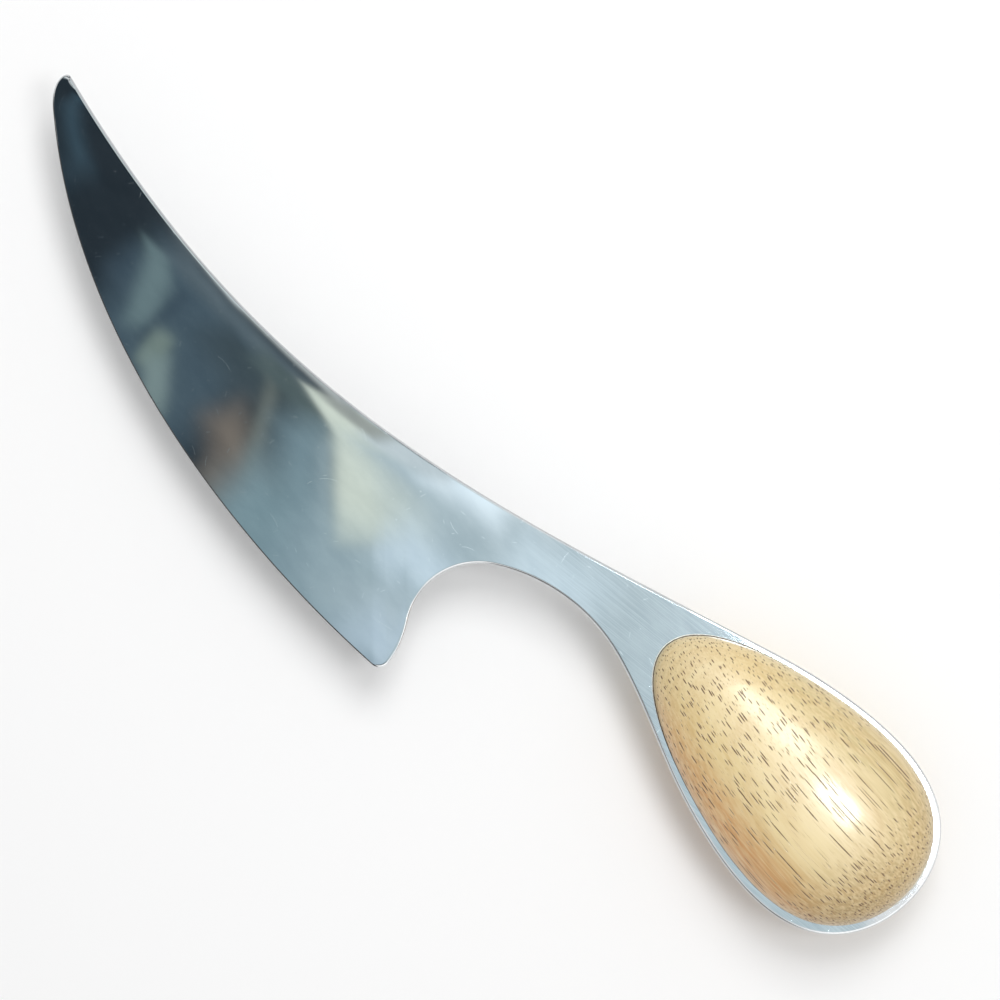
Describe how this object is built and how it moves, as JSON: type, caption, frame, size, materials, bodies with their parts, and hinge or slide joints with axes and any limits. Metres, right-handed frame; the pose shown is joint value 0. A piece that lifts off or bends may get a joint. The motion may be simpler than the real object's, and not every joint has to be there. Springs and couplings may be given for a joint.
{
  "type": "cheese knife",
  "caption": "Cheese knife: a broad curved blade, a round finger notch behind its heel, a slim neck, and a tang between wooden half-eggs that make the handle.",
  "frame": {"origin": "middle of the knife's box, on the plane of its lowest point, the crown of the lower scale", "axes": "+X along the handle from tip to butt, +Y from the cutting edge to the spine, +Z square out of the plate towards the upper scale"},
  "size_m": [0.204, 0.0582, 0.0255],
  "materials": {
    "steel": "satin polish with fine brushing and small scratches",
    "wood": "satin lacquer over open-pored honey-coloured wood",
    "glue": "dried whitish glue",
    "pin_steel": "drawn wire, hidden inside the handle"
  },
  "bodies": {
    "root": {"blade_and_tang": "steel", "upper_scale": "wood", "lower_scale": "wood", "upper_glue_film": "glue", "lower_glue_film": "glue", "front_pin": "pin_steel", "rear_pin": "pin_steel"}
  },
  "joints": []
}
